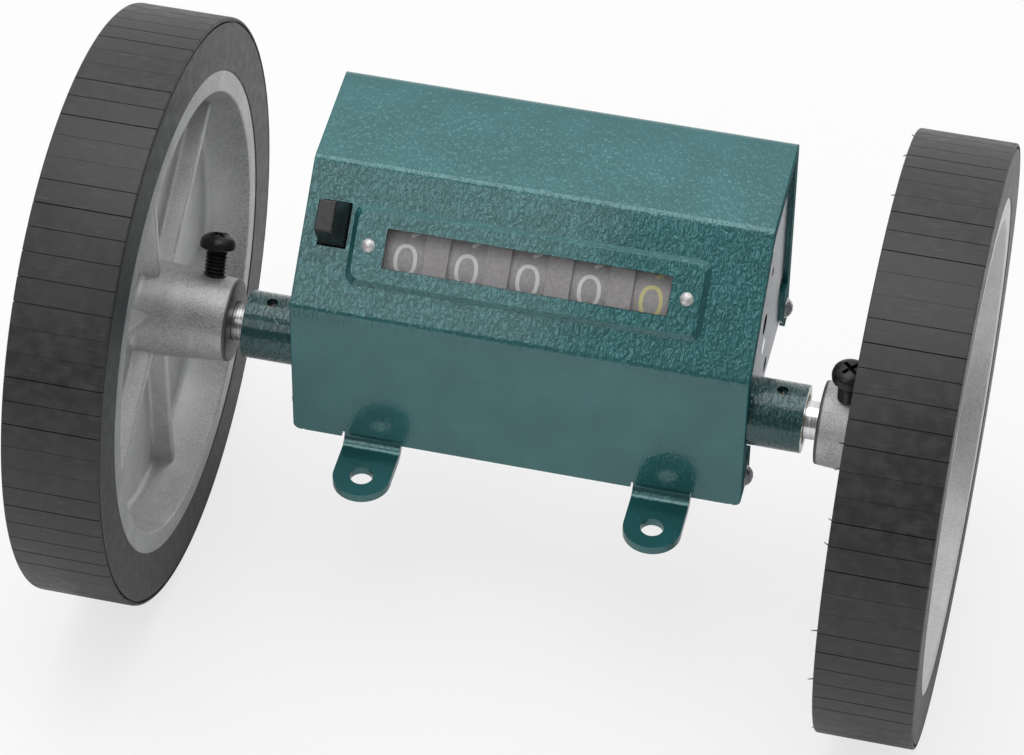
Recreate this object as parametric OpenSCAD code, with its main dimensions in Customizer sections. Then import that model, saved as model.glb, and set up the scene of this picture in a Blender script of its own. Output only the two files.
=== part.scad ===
// Two-wheel metre counter: rubber tyred wheels on one axle drive a row of number drums
// Origin at the axle centre, midway between the wheels; X runs along the axle, -Y is the front, +Z is up

/* [Wheels] */
// Radius of the rubber tread
wheel_r = 53.05; // [48:0.05:60]
// Radial thickness of the tyre
tyre_wall = 9.45; // [6:0.05:10]
// Width of the tyre
tyre_w = 17.2; // [14:0.1:20]
// Corner bevel of the tyre
tyre_bevel = 0.7; // [0.3:0.1:1.5]
// Radial width of the rim's face ring
rim_ring = 3.8; // [3:0.1:5]
// Draft of the rim's barrel between the face and the web
rim_draft = 1.4; // [0.4:0.1:2]
// Depth from the rim's face to the web
web_recess = 8.2; // [6:0.1:10]
// Thickness of the web
web_t = 3; // [2:0.1:4]
// Radius of the hub boss at its ends
hub_r = 7.4; // [6.5:0.1:9]
// Draft of the hub between its inner end and the web
hub_draft = 1.3; // [0.2:0.1:1.6]
// Length of the hub that stands out of the rim towards the body
hub_overhang = 8.8; // [8:0.1:10]
// Length of the hub beyond the web on the outer side
hub_tail = 3.4; // [2:0.1:5]
// Gap between a hub and its bearing sleeve
hub_gap = 2.55; // [1:0.05:8]
// Number of spokes
spoke_count = 6; // [3:1:8]
// Angle of the first spoke
spoke_turn = 31; // [0:1:90]
// Thickness of a spoke's rib
rib_t = 2; // [1.2:0.1:2.8]
// Height of the ribs above the web
rib_h = 3.5; // [2:0.1:4.5]

/* [Axle and set screws] */
// Radius of the axle
axle_r = 3.4; // [3:0.05:3.8]
// Distance of the axle ends from the wheels' outer faces
axle_inset = 4; // [2:0.5:8]
// Thread radius of the wheel set screws
set_screw_r = 2; // [1.5:0.1:2.5]
// Head radius of the set screws
set_head_r = 3.25; // [2.8:0.05:4]
// Head height of the set screws
set_head_h = 2.5; // [2:0.1:3]
// Distance from the axle's middle line to the top of a set screw
set_screw_reach = 15.3; // [13:0.1:17]
// Distance of the set screws from the hubs' inner ends
set_screw_inset = 4.6; // [3.6:0.1:6]
// Lean of the left set screw from straight up, towards the back
left_screw_lean = 28; // [-40:1:40]
// Lean of the right set screw from straight up, towards the back
right_screw_lean = -5; // [-40:1:40]

/* [Cover] */
// Width of the sheet cover over its ends
body_w = 81.5; // [76:0.5:100]
// Thickness of the cover's sheet
sheet_t = 1; // [0.8:0.1:1.4]
// Distance of the front panel in front of the axle
front_reach = 6.5; // [6.3:0.1:7.5]
// Depth of the front panel's lower edge below the axle
front_drop = 17.6; // [17:0.1:20]
// Height of the lower crease above the axle
crease_low_z = 12.1; // [11:0.1:13]
// Rise of the inclined panel
incline_rise = 19.1; // [18.5:0.1:20]
// Depth of the inclined panel from front to back
incline_run = 18.6; // [18:0.1:19.5]
// Depth of the top panel from front to back
top_run = 22.6; // [21:0.1:26]
// Rise of the top panel towards the back
top_rise = 1.9; // [1:0.1:3]
// How far the back wall leans out towards its lower edge
back_lean = 2; // [1:0.1:3]
// Depth of the back wall's lower edge below the axle
back_drop = 11; // [10.5:0.1:14]
// Outer radius of the sheet's bends
bend_r = 2; // [1.5:0.1:2.6]
// Width of the narrow flange that turns in at each end
flange_w = 2.8; // [2:0.1:3.5]
// Width of the wide ear at the back of each end
back_ear_w = 5.6; // [5:0.1:7]
// Width of the ear at the lower front of each end
front_ear_w = 7.6; // [7:0.1:9]
// Height of the lower front ear
front_ear_h = 6.4; // [5.5:0.1:7]
// Radius of the front panel's lower corners
corner_r = 1.3; // [0.6:0.1:2]
// Height of the notch over each foot
notch_h = 1.2; // [0.8:0.1:2]

/* [Window and button] */
// Distance of the raised bezel's foot from the cover's right end
bezel_right = 9.55; // [8:0.05:12]
// Gap between the raised bezel's foot and the reset button
bezel_gap = 0.9; // [0.8:0.1:3]
// Height of the raised bezel's face, up the incline
bezel_h = 12.3; // [11.8:0.1:13]
// Corner radius of the bezel
bezel_r = 2; // [1:0.1:3]
// Height of the bezel above the inclined panel
bezel_raise = 1; // [0.6:0.1:1.2]
// Run of the bezel's sloped side
bezel_flank = 1; // [0.4:0.1:1.2]
// Width of the bezel's face beside the window, at each end
bezel_border = 5.4; // [4.8:0.1:7]
// Height of the window, up the incline
window_h = 6.9; // [6:0.1:7.5]
// Distance of the window's middle above the lower crease
window_s = 12.75; // [12.4:0.05:13.2]
// Thickness of the window's clear plate
lens_t = 0.8; // [0.5:0.1:0.9]
// Distance of the window rivets from the window's ends
rivet_inset = 3; // [2.7:0.1:3]
// Head radius of the window rivets
rivet_head_r = 1.2; // [1:0.05:1.5]
// Width of the reset button at its foot
button_w = 4.7; // [4.2:0.1:5]
// Height of the reset button at its foot, up the incline
button_h = 7.6; // [6.8:0.1:8]
// How much narrower the button's face is, its right side sloping
button_slope_w = 1.5; // [1:0.1:1.9]
// How much shorter the button's face is, its lower side sloping
button_slope_h = 2.1; // [1:0.1:3]
// Distance of the button's middle from the cover's left end
button_inset = 5.5; // [5.2:0.05:6]
// Distance of the button's middle above the lower crease
button_s = 15.5; // [15:0.1:16]
// How far the button stands out of the inclined panel
button_stand = 5.5; // [4.5:0.1:6.5]
// Travel of the button
button_travel = 2.5; // [1.5:0.1:2.5]

/* [Drums and gears] */
// Radius of the number drums
drum_r = 10; // [9.6:0.05:10.1]
// Air between the hubs of neighbouring drums
drum_air = 0.7; // [0.5:0.05:1]
// Distance of the drums' tops below the inclined panel's outer face
drum_depth = 1.6; // [1.5:0.05:2]
// Radius of the main shafts inside the counter
shaft_r = 1.5; // [1.3:0.05:1.5]
// Radius of the thin shaft that carries the transfer pinions
pinion_shaft_r = 0.75; // [0.6:0.05:0.8]
// Distance between the drum shaft and the pinion shaft
pinion_offset = 11.4; // [11.2:0.05:11.6]
// Direction from the drum shaft to the pinion shaft, above straight back
pinion_turn = 40; // [30:1:50]
// Tooth size of the drive gears: pitch diameter over teeth
tooth_size = 0.5; // [0.48:0.01:0.5]
// Width of the drive gears
drive_gear_w = 2; // [1.6:0.1:2.4]
// Radius of the hammer bar's tube
rocker_r = 2.2; // [2:0.05:2.3]
// Distance of the hammer bar's shaft above the lower crease, along the incline
rocker_s = 1.6; // [1.4:0.05:1.8]
// Depth of the hammer bar's shaft below the inclined panel
rocker_depth = 4.7; // [4.6:0.05:4.9]

/* [Bearing sleeves and base] */
// Outer radius of the bearing sleeves
sleeve_r = 6.05; // [5.6:0.05:6.3]
// How far the bearing sleeves stand out of the cover's ends
sleeve_stand = 9.45; // [7:0.05:14]
// Wall of the bronze bushes
bush_wall = 1; // [0.8:0.05:1.2]
// Radius of the oil holes
oil_hole_r = 1; // [0.8:0.1:1.2]
// Distance of the oil holes from the sleeves' outer ends
oil_inset = 4.4; // [3:0.1:5]
// Thickness of the zinc side plates
side_t = 1.2; // [1:0.1:1.5]
// Depth of the side plates' lower edge below the axle
frame_drop = 10; // [9.9:0.1:10.4]
// Thickness of the zinc floor plate
floor_t = 0.8; // [0.6:0.05:0.8]
// Thickness of the base bracket
bracket_t = 1.6; // [1.2:0.1:2]
// Width of a foot
foot_w = 10.4; // [9:0.1:11]
// Distance from the axle forward to the tips of the feet
foot_reach = 18.4; // [17.5:0.1:20]
// Depth of the feet's upper face below the axle
foot_drop = 19.6; // [19.4:0.1:22]
// Distance of each foot's middle from the cover's end
foot_inset = 14.35; // [12:0.05:20]
// Radius of the holes in the feet
foot_hole_r = 2.05; // [1.6:0.05:2.3]
// Distance of the foot holes' middles from the tips of the feet
foot_hole_inset = 5; // [4.4:0.1:5.6]
// Thread radius of the cover's screws
cover_screw_r = 1; // [0.9:0.05:1.1]
// Head radius of the cover's screws
cover_head_r = 1.9; // [1.7:0.05:2.2]
// Head height of the cover's screws
cover_head_h = 1.3; // [1:0.1:1.6]
// Height of the back screws above the back wall's lower edge
back_screw_rise = 4.7; // [4:0.1:5.4]

/* [Hidden] */

$fn = 96;
hull_fn = 32;
small_fn = 48;

// Clearances
running_gap = 0.05;
seat_gap = 0.03;
play = 0.25;
lay_gap = 0.1;
overrun = 1;
film = 0.01;

// Places of the cover's corners in Y and Z, from the front's lower edge round to the back's
crease_low = [-front_reach, crease_low_z];
crease_high = crease_low + [incline_run, incline_rise];
back_top = crease_high + [top_run, top_rise];
back_low = [back_top[0] + back_lean, -back_drop];
cover_corners = [[-front_reach, -front_drop], crease_low, crease_high, back_top, back_low];
last_corner = len(cover_corners) - 1;
bend_steps = 6;

incline_angle = atan2(incline_rise, incline_run);
half_w = body_w / 2;
side_out = half_w - sheet_t;
side_in = side_out - side_t;

// Places along X that follow the cover's ends
sleeve_reach = half_w + sleeve_stand;
button_reach = half_w - button_inset;
foot_spread = half_w - foot_inset;
bezel_left = button_inset + button_w / 2 + bezel_gap;
bezel_w = body_w - bezel_left - bezel_right - 2 * bezel_flank;
window_x = (bezel_left - bezel_right) / 2;
window_w = bezel_w - 2 * bezel_border;
rivet_reach = window_w / 2 + rivet_inset;

function side_normal(i) = let (d = cover_corners[i + 1] - cover_corners[i]) [-d[1], d[0]] / norm(d);
function normal_before(i) = side_normal(max(i - 1, 0));
function normal_after(i) = side_normal(min(i, last_corner - 1));
function mitre(i) = (normal_before(i) + normal_after(i)) / (1 + normal_before(i) * normal_after(i));
function inset_corner(i, depth) = cover_corners[i] - mitre(i) * depth;
function turned(v) = atan2(v[1], v[0]);
function bend_arc(i, depth) = [for (k = [0:bend_steps])
    let (from_a = turned(normal_before(i)), a = from_a + (turned(normal_after(i)) - from_a) * k / bend_steps)
    inset_corner(i, bend_r) + [cos(a), sin(a)] * (bend_r - depth)];
function corner_points(i, depth) = bend_r > depth ? bend_arc(i, depth) : [inset_corner(i, depth)];
function bends(depth) = [for (i = [1:last_corner - 1]) each corner_points(i, depth)];
function sheet_path(depth) =
    concat([inset_corner(0, depth)], bends(depth), [inset_corner(last_corner, depth)]);
function reversed(list) = [for (i = [len(list) - 1:-1:0]) list[i]];
function wall_y(z, p, q) = p[0] + (q[0] - p[0]) * (z - p[1]) / (q[1] - p[1]);
function back_wall_y(z, depth) =
    wall_y(z, inset_corner(last_corner - 1, depth), inset_corner(last_corner, depth));
function incline_point(s, h) = crease_low + [cos(incline_angle), sin(incline_angle)] * s
    + [-sin(incline_angle), cos(incline_angle)] * h;

// Shaft places in Y and Z
drum_axis = incline_point(window_s, -drum_depth - drum_r);
rocker_axis = incline_point(rocker_s, -rocker_depth);
pinion_axis = drum_axis + [cos(pinion_turn), sin(pinion_turn)] * pinion_offset;

// Half widths in tooth pitches and heights in tooth sizes along one tooth
tooth_shares = [[-0.3, -1], [-0.1, 0.8], [0.1, 0.8], [0.3, -1]];

// Gear train: axle gear to idler, idler pinion to the first drum
axle_teeth = 20;
idler_teeth = 40;
idler_pinion_teeth = 20;
drum_drive_teeth = 30;
drum_teeth = 20;
pinion_teeth = 8;
axle_gear_r = axle_teeth * tooth_size / 2;
idler_r = idler_teeth * tooth_size / 2;
idler_pinion_r = idler_pinion_teeth * tooth_size / 2;
drum_drive_r = drum_drive_teeth * tooth_size / 2;
transfer_size = 2 * pinion_offset / (drum_teeth + pinion_teeth);
pinion_tip_r = (pinion_teeth / 2 + tooth_shares[1][1]) * transfer_size;
axle_to_idler = axle_gear_r + idler_r;
idler_to_drum = idler_pinion_r + drum_drive_r;
axle_to_drum = norm(drum_axis);
idler_angle = turned(drum_axis)
    - acos((axle_to_idler * axle_to_idler + axle_to_drum * axle_to_drum - idler_to_drum * idler_to_drum)
           / (2 * axle_to_idler * axle_to_drum));
idler_axis = [cos(idler_angle), sin(idler_angle)] * axle_to_idler;
idler_to_drum_angle = turned(drum_axis - idler_axis);

// Drum layout along X, drum 1 on the left
drum_count = 5;
band_lap = 0.1;
gear_w = 1.2;
cam_w = 1;
carry_w = 1;
drum_gap = gear_w + cam_w + carry_w + drum_air;
drum_pitch = (window_w + 2 * band_lap + drum_gap) / drum_count;
band_w = drum_pitch - drum_gap;
function drum_x(i) = window_x + (i - (drum_count + 1) / 2) * drum_pitch;
cam_x = band_w / 2 + gear_w;
hub_end = cam_x + cam_w;
drum_hub_r = 2.4;
drum_bore_r = shaft_r + running_gap;
band_wall = 1.2;
drum_web_t = 1.4;
cam_max_r = 3.7;
cam_min_r = 2.6;
carry_r = 6.6;
carry_tip_r = pinion_offset - pinion_tip_r - lay_gap;
carry_tooth_turn = 9;
carry_tooth_w = 1.1;
last_band_x = drum_x(drum_count) + band_w / 2;
idler_pinion_x = last_band_x + play;
gear_gap = 0.6;
idler_x = drum_x(drum_count) + hub_end + gear_gap;

// Wheel places measured along X from the middle, from the sleeves outwards
rim_shy = 0.15;
hub_in = sleeve_reach + hub_gap;
rim_in = hub_in + hub_overhang;
tyre_in = rim_in - rim_shy;
tyre_out = tyre_in + tyre_w;
rim_out = tyre_out - rim_shy;
rim_r = wheel_r - tyre_wall;
barrel_r = rim_r - rim_ring;
web_in = rim_in + web_recess;
hub_out = web_in + web_t + hub_tail;
axle_end = tyre_out - axle_inset;
set_screw_x = hub_in + set_screw_inset;
hub_edge = 0.5;
set_slot_w = 0.65;
set_head_share = 0.62;

// Feet and base
foot_end_r = foot_w / 2;
foot_hole_reach = foot_reach - foot_hole_inset;
foot_bend_r = 2.2;
foot_bend_steps = 24;
foot_gap = 0.1;
web_front = front_reach - sheet_t - foot_gap;
bracket_margin = 4.4;
bracket_w = 2 * (foot_spread + bracket_margin) + foot_w;
bracket_depth = 17;
floor_back_gap = 4.4;
leg_back_y = front_ear_w - front_reach;
leg_drop = front_drop - sheet_t;

// Cover screws in Y and Z, the front ones at shares of the front ears
front_screw_shares = [0.56, 0.55];
front_screw_at = [-front_reach + front_ear_w * front_screw_shares[0],
                  -front_drop + front_ear_h * front_screw_shares[1]];
back_screw_z = -back_drop + back_screw_rise;
back_screw_at = [back_wall_y(back_screw_z, back_ear_w / 2), back_screw_z];
cover_screw_len = 4.5;
cover_slot_w = 0.5;
cover_cross_share = 0.55;

// Button, its guide and the hammer bar, as depths below the inclined panel
collar_top = 1.2;
collar_t = 0.9;
collar_lap = 1.1;
stem_w = 3;
stem_h = 2.5;
stem_show = 0.65;
stop_gap = 0.15;
guide_t = 0.6;
guide_depth = collar_top + collar_t + button_travel + stop_gap;
stem_end = guide_depth + guide_t + stem_show;
guide_rim = 1.6;
lever_t = 0.9;
lever_w = 2.4;
lever_web = 3.3;
lever_drop = stem_end + lay_gap - rocker_depth;
lever_reach = button_s + stem_h / 2 - rocker_s;
arm_w = 0.7;
arm_t = 1.2;
arm_reach = window_s - rocker_s + arm_t / 2;
rocker_left = -side_in + play;
rocker_right = drum_x(drum_count) + hub_end;
spring_wire_r = 0.35;
spring_coil_r = shaft_r + spring_wire_r + 0.35;
spring_turns = 5;
spring_rise = 1.1;
spring_sides = 6;
spring_rings = 10;
spring_start = rocker_right + 2 * spring_wire_r;

// Small parts
clip_t = 0.5;
clip_wall = 1;
spacer_wall = 0.35;
tie_rod_r = 1.9;
tie_inset = 4.4;
plate_hole_radii = [2, 1.55, 1.3, 0.9];
rivet_shank_r = 0.75;
rivet_head_h = 0.65;
rivet_tail_h = 0.4;
rivet_grip = sheet_t + lens_t + 2 * film;
base_rivet_r = 1.2;
base_rivet_head_r = 2;
base_rivet_head_h = 0.6;
base_rivet_shift = 3.6;
base_rivet_x = foot_spread + base_rivet_shift;
base_rivet_insets = [7.9, 14.4];
base_rivet_y = [for (inset = base_rivet_insets) inset - web_front];
lens_margin = 2;
bezel_side = 0.8;
mask_t = 0.3;
mask_lap = 0.2;

// Side plate holes that nothing fills: places as shares of the top's back corner
plate_hole_shares = [[0.435, 0.193], [0.539, -0.2], [0.925, 0.021], [0.585, 0.432]];

// Turns a shape's flat plan into the Y and Z plane, its height along X
module along_x(at) {
    translate([0, at[0], at[1]]) rotate([90, 0, 90]) children();
}

module rod_x(at, from_x, to_x, r) {
    translate([from_x, at[0], at[1]]) rotate([0, 90, 0]) cylinder(r = r, h = to_x - from_x);
}

module tube_x(at, from_x, to_x, r_out, r_in) {
    difference() {
        rod_x(at, from_x, to_x, r_out);
        rod_x(at, from_x - overrun, to_x + overrun, r_in);
    }
}

module plate_x(from_x, thick) {
    translate([from_x, 0, 0]) rotate([90, 0, 90]) linear_extrude(thick) children();
}

// Local Y runs up the inclined panel and local Z points out of it
module on_incline() {
    translate([0, crease_low[0], crease_low[1]]) rotate([incline_angle, 0, 0]) children();
}

module rounded_slab(w, h, r, thick) {
    linear_extrude(thick) offset(r = r, $fn = hull_fn) square([w - 2 * r, h - 2 * r], center = true);
}

module gear_plan(teeth, size) {
    polygon([for (i = [0:teeth - 1]) for (p = tooth_shares)
        let (a = 360 / teeth * (i + p[0]), r = (teeth / 2 + p[1]) * size) [cos(a), sin(a)] * r]);
}

module gear_x(at, teeth, size, turn, from_x, wide) {
    translate([from_x, 0, 0]) along_x(at) rotate(turn) linear_extrude(wide) gear_plan(teeth, size);
}

// A domed head standing on the XY plane
module dome(r, h) {
    ball_r = (r * r + h * h) / (2 * h);
    intersection() {
        translate([0, 0, h - ball_r]) sphere(r = ball_r, $fn = small_fn);
        cylinder(r = r, h = h + film, $fn = small_fn);
    }
}

module mirrored_left(is_left) {
    if (is_left) mirror([1, 0, 0]) children();
    else children();
}

// Cover: bent sheet with flanges, ears, a raised bezel and its openings
module bezel_form(grow) {
    base_w = bezel_w + 2 * bezel_flank - 2 * grow;
    base_h = bezel_h + 2 * bezel_flank - 2 * grow;
    hull() {
        rounded_slab(base_w, base_h, bezel_r, film);
        translate([0, 0, bezel_raise - film])
            rounded_slab(bezel_w - 2 * grow, bezel_h - 2 * grow, bezel_r, film);
    }
}

module cover_ears() {
    plate_x(side_out, sheet_t) {
        polygon(concat(sheet_path(0), reversed(sheet_path(flange_w))));
        polygon([[back_wall_y(0, 0), 0],
                 [back_wall_y(back_screw_z, 0), back_screw_z],
                 [back_wall_y(back_screw_z, back_ear_w), back_screw_z],
                 [back_wall_y(0, back_ear_w), 0]]);
        translate(back_screw_at) circle(r = back_ear_w / 2);
        translate([-front_reach, -front_drop + corner_r]) square([front_ear_w, front_ear_h]);
    }
}

module cover_end_cuts() {
    rod_x([0, 0], side_out - overrun, half_w + overrun, sleeve_r + lay_gap);
    rod_x(front_screw_at, side_in, half_w + overrun, cover_screw_r + running_gap);
    rod_x(back_screw_at, side_in, half_w + overrun, cover_screw_r + running_gap);
    translate([side_out - overrun, -front_reach - overrun, -front_drop - overrun])
        difference() {
            cube([sheet_t + 2 * overrun, sheet_t + overrun + flange_w, corner_r + overrun]);
            translate([overrun + sheet_t - corner_r, -overrun, overrun + corner_r]) rotate([-90, 0, 0])
                cylinder(r = corner_r, h = sheet_t + 4 * overrun + flange_w);
        }
}

module cover() {
    color([0.29, 0.49, 0.48])
    difference() {
        union() {
            plate_x(-half_w, body_w) polygon(concat(sheet_path(0), reversed(sheet_path(sheet_t))));
            cover_ears();
            mirror([1, 0, 0]) cover_ears();
            on_incline() translate([window_x, window_s, -film]) bezel_form(0);
        }
        on_incline() translate([window_x, window_s, -sheet_t - film]) bezel_form(bezel_side);
        on_incline() translate([window_x - window_w / 2, window_s - window_h / 2, -sheet_t - overrun])
            cube([window_w, window_h, bezel_raise + sheet_t + 2 * overrun]);
        for (side = [-1, 1])
            on_incline() translate([window_x + side * rivet_reach, window_s, -sheet_t - overrun])
            cylinder(r = rivet_shank_r + seat_gap, h = bezel_raise + sheet_t + 2 * overrun, $fn = small_fn);
        on_incline() translate([-button_reach, button_s, -sheet_t - overrun])
            translate([-button_w / 2 - play, -button_h / 2 - play, 0])
            cube([button_w + 2 * play, button_h + 2 * play, sheet_t + 2 * overrun]);
        for (side = [-1, 1])
            translate([side * foot_spread, -front_reach - overrun, -front_drop - overrun])
            translate([-foot_w / 2 - play, 0, 0])
            cube([foot_w + 2 * play, sheet_t + 2 * overrun, notch_h + overrun]);
        cover_end_cuts();
        mirror([1, 0, 0]) cover_end_cuts();
    }
}

// Window: a clear plate and a mask below it with an opening over each drum
lens_low = bezel_raise - sheet_t - lens_t - 2 * film;

module window_lens() {
    color([0.62, 0.6, 0.62, 0.5])
    on_incline() translate([window_x, window_s, lens_low]) difference() {
        rounded_slab(bezel_w - lens_margin, bezel_h - lens_margin, bezel_r, lens_t);
        for (side = [-1, 1]) translate([side * rivet_reach, 0, -overrun])
            cylinder(r = rivet_shank_r + seat_gap, h = lens_t + 2 * overrun, $fn = small_fn);
    }
}

module number_mask() {
    mask_w = 2 * (rivet_reach - rivet_head_r - lay_gap);
    opening_w = band_w - 2 * mask_lap;
    opening_h = (window_h + bezel_h - lens_margin) / 2;
    color([0.55, 0.54, 0.55])
    on_incline() translate([window_x, window_s, lens_low - film - mask_t]) difference() {
        rounded_slab(mask_w, bezel_h - lens_margin, bezel_r / 2, mask_t);
        for (i = [1:drum_count])
            translate([drum_x(i) - window_x - opening_w / 2, -opening_h / 2, -overrun])
            cube([opening_w, opening_h, mask_t + 2 * overrun]);
    }
}

module window_rivets() {
    color("silver")
    for (side = [-1, 1]) on_incline() translate([window_x + side * rivet_reach, window_s, bezel_raise]) {
        dome(rivet_head_r, rivet_head_h);
        translate([0, 0, -rivet_grip - rivet_tail_h]) {
            cylinder(r = rivet_shank_r, h = rivet_grip + rivet_tail_h + film, $fn = small_fn);
            cylinder(r = rivet_head_r, h = rivet_tail_h, $fn = small_fn);
        }
    }
}

// Base: a bent bracket with two feet, riveted under the floor plate
function foot_bend(r) = [for (k = [0:foot_bend_steps]) let (a = 90 * k / foot_bend_steps)
    [-web_front - foot_bend_r + sin(a) * r, -foot_drop + foot_bend_r - cos(a) * r]];

module foot(x) {
    round_y = -foot_reach + foot_end_r;
    plate_x(x - foot_w / 2, foot_w)
        polygon(concat([[round_y, -foot_drop - bracket_t]],
                       foot_bend(foot_bend_r + bracket_t),
                       [[-web_front + bracket_t, -frame_drop], [-web_front, -frame_drop]],
                       reversed(foot_bend(foot_bend_r)),
                       [[round_y, -foot_drop]]));
    translate([x, round_y, -foot_drop - bracket_t]) cylinder(r = foot_end_r, h = bracket_t);
}

module base_bracket() {
    color([0.27, 0.44, 0.43])
    difference() {
        union() {
            for (side = [-1, 1]) foot(side * foot_spread);
            translate([-bracket_w / 2, -web_front, -front_drop + notch_h])
                cube([bracket_w, bracket_t, front_drop - notch_h - frame_drop]);
            translate([-bracket_w / 2, -web_front, -frame_drop - bracket_t])
                cube([bracket_w, bracket_depth, bracket_t]);
        }
        for (side = [-1, 1]) {
            translate([side * foot_spread, -foot_hole_reach, -foot_drop - bracket_t - overrun])
                cylinder(r = foot_hole_r, h = bracket_t + 2 * overrun);
            for (y = base_rivet_y) translate([side * base_rivet_x, y, -frame_drop - bracket_t - overrun])
                cylinder(r = base_rivet_r + seat_gap, h = bracket_t + 2 * overrun);
        }
    }
}

module base_rivets() {
    stack = floor_t + bracket_t;
    color("silver")
    for (side = [-1, 1]) for (y = base_rivet_y)
        translate([side * base_rivet_x, y, -frame_drop - bracket_t]) {
            cylinder(r = base_rivet_r, h = stack);
            translate([0, 0, -base_rivet_head_h]) cylinder(r = base_rivet_head_r, h = base_rivet_head_h);
            translate([0, 0, stack]) cylinder(r = base_rivet_head_r, h = base_rivet_head_h / 2);
        }
}

module floor_plate() {
    front_y = -web_front + bracket_t;
    depth = back_wall_y(-frame_drop, sheet_t) - floor_back_gap - front_y;
    color("lightgray")
    difference() {
        translate([-side_in + lay_gap, front_y, -frame_drop])
            cube([2 * (side_in - lay_gap), depth, floor_t]);
        for (side = [-1, 1]) for (y = base_rivet_y)
            translate([side * base_rivet_x, y, -frame_drop - overrun])
            cylinder(r = base_rivet_r + seat_gap, h = floor_t + 2 * overrun);
    }
}

// Side plates: zinc sheet inside the cover's end flanges
module side_plate_plan() {
    gap = sheet_t + lay_gap;
    polygon(concat([[-front_reach + gap, -leg_drop]],
                   bends(gap),
                   [[back_wall_y(-frame_drop, gap), -frame_drop],
                    [leg_back_y, -frame_drop],
                    [leg_back_y, -leg_drop]]));
}

module side_plate(is_left) {
    color("gainsboro")
    mirrored_left(is_left) difference() {
        plate_x(side_in, side_t) side_plate_plan();
        rod_x([0, 0], side_in - overrun, side_out + overrun, axle_r + running_gap + bush_wall + seat_gap);
        for (at = [drum_axis, idler_axis, rocker_axis])
            rod_x(at, side_in - overrun, side_out + overrun, shaft_r + seat_gap);
        rod_x(pinion_axis, side_in - overrun, side_out + overrun, pinion_shaft_r + seat_gap);
        for (at = [front_screw_at, back_screw_at])
            rod_x(at, side_in - overrun, side_out + overrun, cover_screw_r + seat_gap);
        for (at = tie_rod_places())
            rod_x(at, side_in - overrun, side_out + overrun, tie_rod_r / 2 + seat_gap);
        for (k = [0:len(plate_hole_radii) - 1])
            rod_x([back_top[0] * plate_hole_shares[k][0], back_top[1] * plate_hole_shares[k][1]],
                  side_in - overrun, side_out + overrun, plate_hole_radii[k]);
    }
}

function tie_rod_places() = [
    [back_top[0] - tie_inset - sheet_t, back_top[1] - tie_inset - sheet_t],
    [back_wall_y(0, sheet_t) - tie_inset, crease_low_z / 2]];

module tie_rods() {
    color("silver")
    for (at = tie_rod_places()) {
        rod_x(at, -side_in, side_in, tie_rod_r);
        rod_x(at, -side_out, side_out, tie_rod_r / 2);
    }
}

// Bearings
module oil_hole() {
    translate([sleeve_reach - oil_inset, 0, 0])
        cylinder(r = oil_hole_r, h = sleeve_r + overrun, $fn = small_fn);
}

module bearing_sleeve(is_left) {
    bush_r = axle_r + running_gap + bush_wall;
    color([0.2, 0.38, 0.37])
    mirrored_left(is_left) difference() {
        rod_x([0, 0], side_out, sleeve_reach, sleeve_r);
        rod_x([0, 0], side_out - overrun, sleeve_reach + overrun, bush_r + seat_gap);
        oil_hole();
    }
}

module bush(is_left) {
    bush_r = axle_r + running_gap + bush_wall;
    color("goldenrod")
    mirrored_left(is_left) difference() {
        rod_x([0, 0], side_in - side_t, sleeve_reach, bush_r);
        rod_x([0, 0], side_in - side_t - overrun, sleeve_reach + overrun, axle_r + running_gap);
        oil_hole();
    }
}

module cover_screws(is_left) {
    color("dimgray")
    mirrored_left(is_left) for (at = [front_screw_at, back_screw_at]) {
        translate([half_w, 0, 0]) along_x(at) difference() {
            dome(cover_head_r, cover_head_h);
            for (turn = [0, 90]) rotate(turn)
                translate([-cover_head_r * cover_cross_share, -cover_slot_w / 2, cover_head_h / 2])
                    cube([2 * cover_head_r * cover_cross_share, cover_slot_w, cover_head_h]);
        }
        rod_x(at, half_w - cover_screw_len, half_w + film, cover_screw_r);
    }
}

// Shafts, clips and spacers inside
module inner_shaft(at, r) {
    color("silver") rod_x(at, -side_out, side_out, r);
}

module shaft_clip(at, r, x) {
    tube_x(at, x, x + clip_t, r + clip_wall, r + seat_gap);
}

module shaft_clips() {
    color("dimgray")
    for (side = [0, 1]) mirrored_left(side == 1) {
        for (at = [drum_axis, idler_axis]) shaft_clip(at, shaft_r, side_in - lay_gap - clip_t);
        shaft_clip(pinion_axis, pinion_shaft_r, side_in - lay_gap - clip_t);
    }
}

module shaft_spacers() {
    inner = side_in - 2 * lay_gap - clip_t;
    spacer_r = shaft_r + seat_gap + spacer_wall;
    color("burlywood") {
        tube_x(drum_axis, -inner, drum_x(1) - band_w / 2 - carry_w - play, spacer_r, shaft_r + seat_gap);
        tube_x(drum_axis, drum_x(drum_count) + hub_end + play, inner, spacer_r, shaft_r + seat_gap);
        tube_x(idler_axis, -inner, idler_pinion_x - play, spacer_r, shaft_r + seat_gap);
        tube_x(idler_axis, idler_x + drive_gear_w + play, inner, spacer_r, shaft_r + seat_gap);
    }
}

// Guide plate for the button's stem, its tab against the left side plate
module button_guide() {
    wide = stem_w + 2 * guide_rim;
    tall = stem_h + 2 * (play + guide_rim);
    color("lightgray")
    on_incline() difference() {
        union() {
            translate([-side_in, button_s - tall / 2, -guide_depth - guide_t])
                cube([side_in - button_reach + wide / 2, tall, guide_t]);
            translate([-side_in, button_s - tall / 2, -guide_depth - guide_t - 2 * collar_t])
                cube([guide_t, tall, guide_t + 2 * collar_t]);
        }
        translate([-button_reach, button_s, -guide_depth - 2 * overrun])
            translate([-stem_w / 2 - play, -stem_h / 2 - play, 0])
            cube([stem_w + 2 * play, stem_h + 2 * play, 4 * overrun]);
    }
}

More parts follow.
